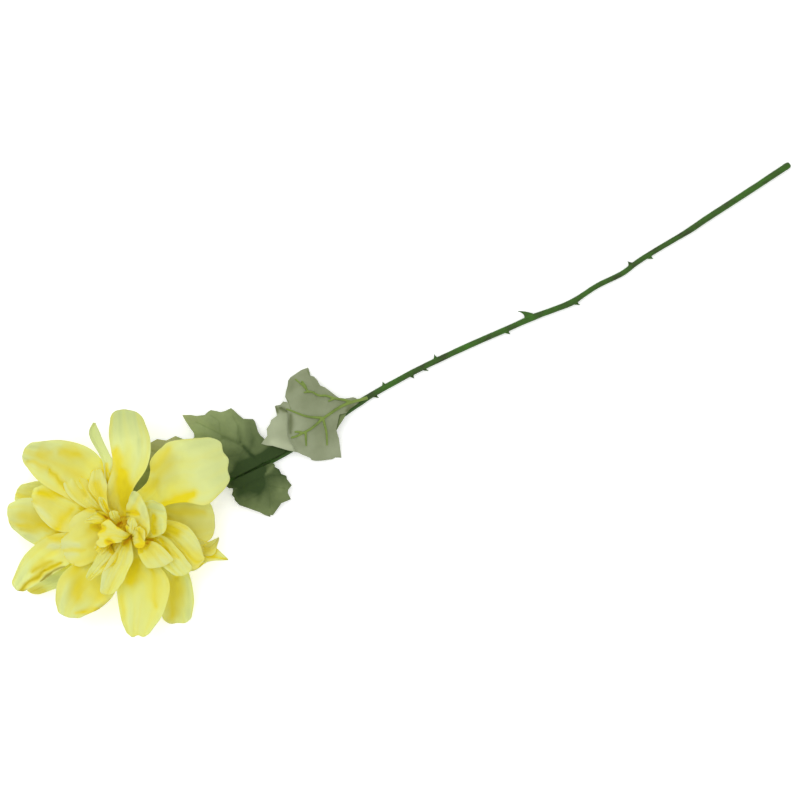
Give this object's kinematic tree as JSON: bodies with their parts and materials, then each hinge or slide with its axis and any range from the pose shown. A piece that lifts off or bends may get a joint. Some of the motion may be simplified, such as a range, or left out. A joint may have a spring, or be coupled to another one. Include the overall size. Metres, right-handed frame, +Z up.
{
  "type": "dahlia flower",
  "caption": "Long-stemmed artificial dahlia lying down: a double yellow bloom of cupped fabric petals over toothed green leaves, on a thin coated stem with small thorns.",
  "frame": {"origin": "the middle of the footprint on the surface it lies on", "axes": "+X along the stem from the bloom to the cut end, +Z up, the way the bloom faces"},
  "size_m": [0.7086, 0.1851, 0.0605],
  "materials": {
    "petal": "matte",
    "stem": "satin",
    "leaf": "matte",
    "pale_leaf": "matte",
    "rib": "satin"
  },
  "bodies": {
    "root": {"bloom": "petal", "calyx": "stem", "stem": "stem", "leaf_1_blade": "pale_leaf", "leaf_1_ribs": "rib", "leaf_2_blade": "leaf", "leaf_2_ribs": "rib", "leaf_3_blade": "leaf", "leaf_3_ribs": "rib", "leaf_4_blade": "leaf", "leaf_4_ribs": "rib"}
  },
  "joints": []
}
